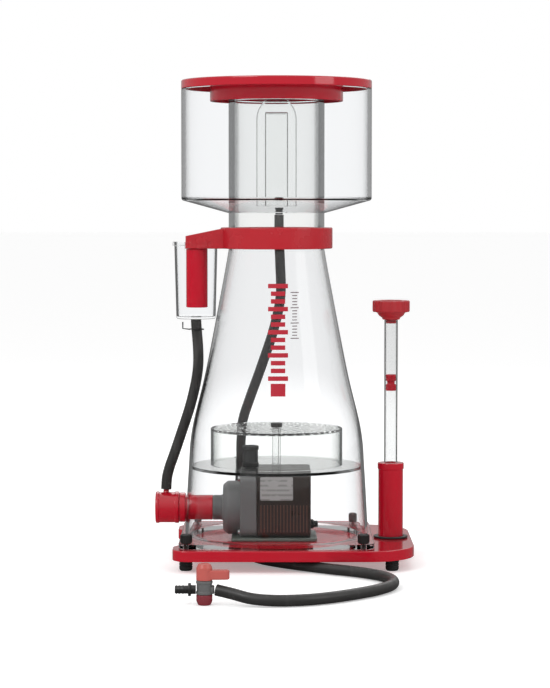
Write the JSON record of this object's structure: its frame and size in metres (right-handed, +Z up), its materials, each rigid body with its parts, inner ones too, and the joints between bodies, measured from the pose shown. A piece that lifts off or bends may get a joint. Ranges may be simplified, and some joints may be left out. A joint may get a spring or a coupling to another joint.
{
  "type": "protein skimmer",
  "caption": "Clear cone-bodied foam fractionator with a needle-wheel pump, a lift-off collection cup and lid, a level regulator, an air silencer and a drain hose with a ball valve.",
  "frame": {"origin": "middle of the footprint of the rigid body (drain hose and valve left out), on the surface that the feet stand on", "axes": "+Z up the tower, +X towards the level regulator, -Y towards the side that the pump's label faces"},
  "size_m": [0.2686, 0.4587, 0.502],
  "materials": {
    "red_acrylic": "polished deep red acrylic",
    "clear_acrylic": "polished clear acrylic",
    "black_rubber": "matt black rubber",
    "black_plastic": "satin black moulding",
    "grey_plastic": "satin grey moulding",
    "motor_resin": "dark brown-black resin",
    "label_film": "blank grey label film",
    "bracket_plastic": "satin grey-green moulding",
    "hose_silicone": "dark grey silicone hose",
    "valve_red": "orange-red moulding",
    "shaft_steel": "ground stainless steel",
    "magnet_ferrite": "sealed ferrite magnet"
  },
  "bodies": {
    "root": {"air_hose": "hose_silicone", "base_plate": "red_acrylic", "body_flange": "clear_acrylic", "body_gasket": "black_rubber", "body_shell": "clear_acrylic", "bubble_plate": "clear_acrylic", "bulkhead_ring": "red_acrylic", "cable_gland": "black_rubber", "channel_cover": "red_acrylic", "diffuser_drum": "clear_acrylic", "drain_hose": "hose_silicone", "drum_cap": "black_plastic", "drum_stem": "clear_acrylic", "foot_left_back": "black_rubber", "foot_left_front": "black_rubber", "foot_right_back": "black_rubber", "foot_right_front": "black_rubber", "hose_clip": "black_plastic", "intake_tube": "red_acrylic", "neck_collar": "red_acrylic", "neck_seal": "black_rubber", "outlet_socket": "black_rubber", "pump_bracket": "bracket_plastic", "pump_label": "label_film", "pump_motor": "motor_resin", "pump_volute": "grey_plastic", "riser_flange": "black_rubber", "riser_tube": "red_acrylic", "shaft_bush_front": "black_rubber", "shaft_bush_rear": "black_rubber", "silencer_cup": "clear_acrylic", "silencer_stem": "red_acrylic", "thumb_screw_left_back": "black_plastic", "thumb_screw_left_front": "black_plastic", "thumb_screw_right_back": "black_plastic", "thumb_screw_right_front": "black_plastic", "valve_body": "grey_plastic", "valve_cap": "red_acrylic", "valve_spigot": "black_plastic", "venturi_body": "red_acrylic", "volute_seal": "black_rubber"},
    "cup": {"neck_tube": "clear_acrylic", "collection_cup": "clear_acrylic", "drain_tower": "clear_acrylic", "drain_spigot": "black_plastic"},
    "lid": {"cup_lid": "red_acrylic"},
    "regulator": {"regulator_tube": "clear_acrylic", "regulator_piston": "black_rubber", "level_marker": "red_acrylic"},
    "knob": {"regulator_knob": "red_acrylic"},
    "impeller": {"needle_wheel": "grey_plastic", "rotor_magnet": "magnet_ferrite", "rotor_shaft": "shaft_steel"},
    "valve_lever": {"valve_handle": "valve_red", "valve_ball": "shaft_steel"}
  },
  "joints": [
    {"name": "cup_lift", "type": "slide", "parent": "root", "child": "cup", "axis": [0, 0, 1], "range_m": [0, 0.08]},
    {"name": "lid_lift", "type": "slide", "parent": "cup", "child": "lid", "axis": [0, 0, 1], "range_m": [0, 0.06]},
    {"name": "regulator_slide", "type": "slide", "parent": "root", "child": "regulator", "axis": [0, 0, 1], "range_m": [-0.05, 0.01]},
    {"name": "knob_turn", "type": "hinge", "parent": "regulator", "child": "knob", "pos_m": [0.11275, 0, 0.26], "axis": [0, 0, 1], "continuous": true},
    {"name": "impeller_spin", "type": "hinge", "parent": "root", "child": "impeller", "pos_m": [-0.03725, 0, 0.055], "axis": [1, 0, 0], "continuous": true},
    {"name": "valve_turn", "type": "hinge", "parent": "root", "child": "valve_lever", "pos_m": [-0.07475, -0.285, 0.03], "axis": [0, 0, 1], "range_deg": [0, 90]}
  ]
}
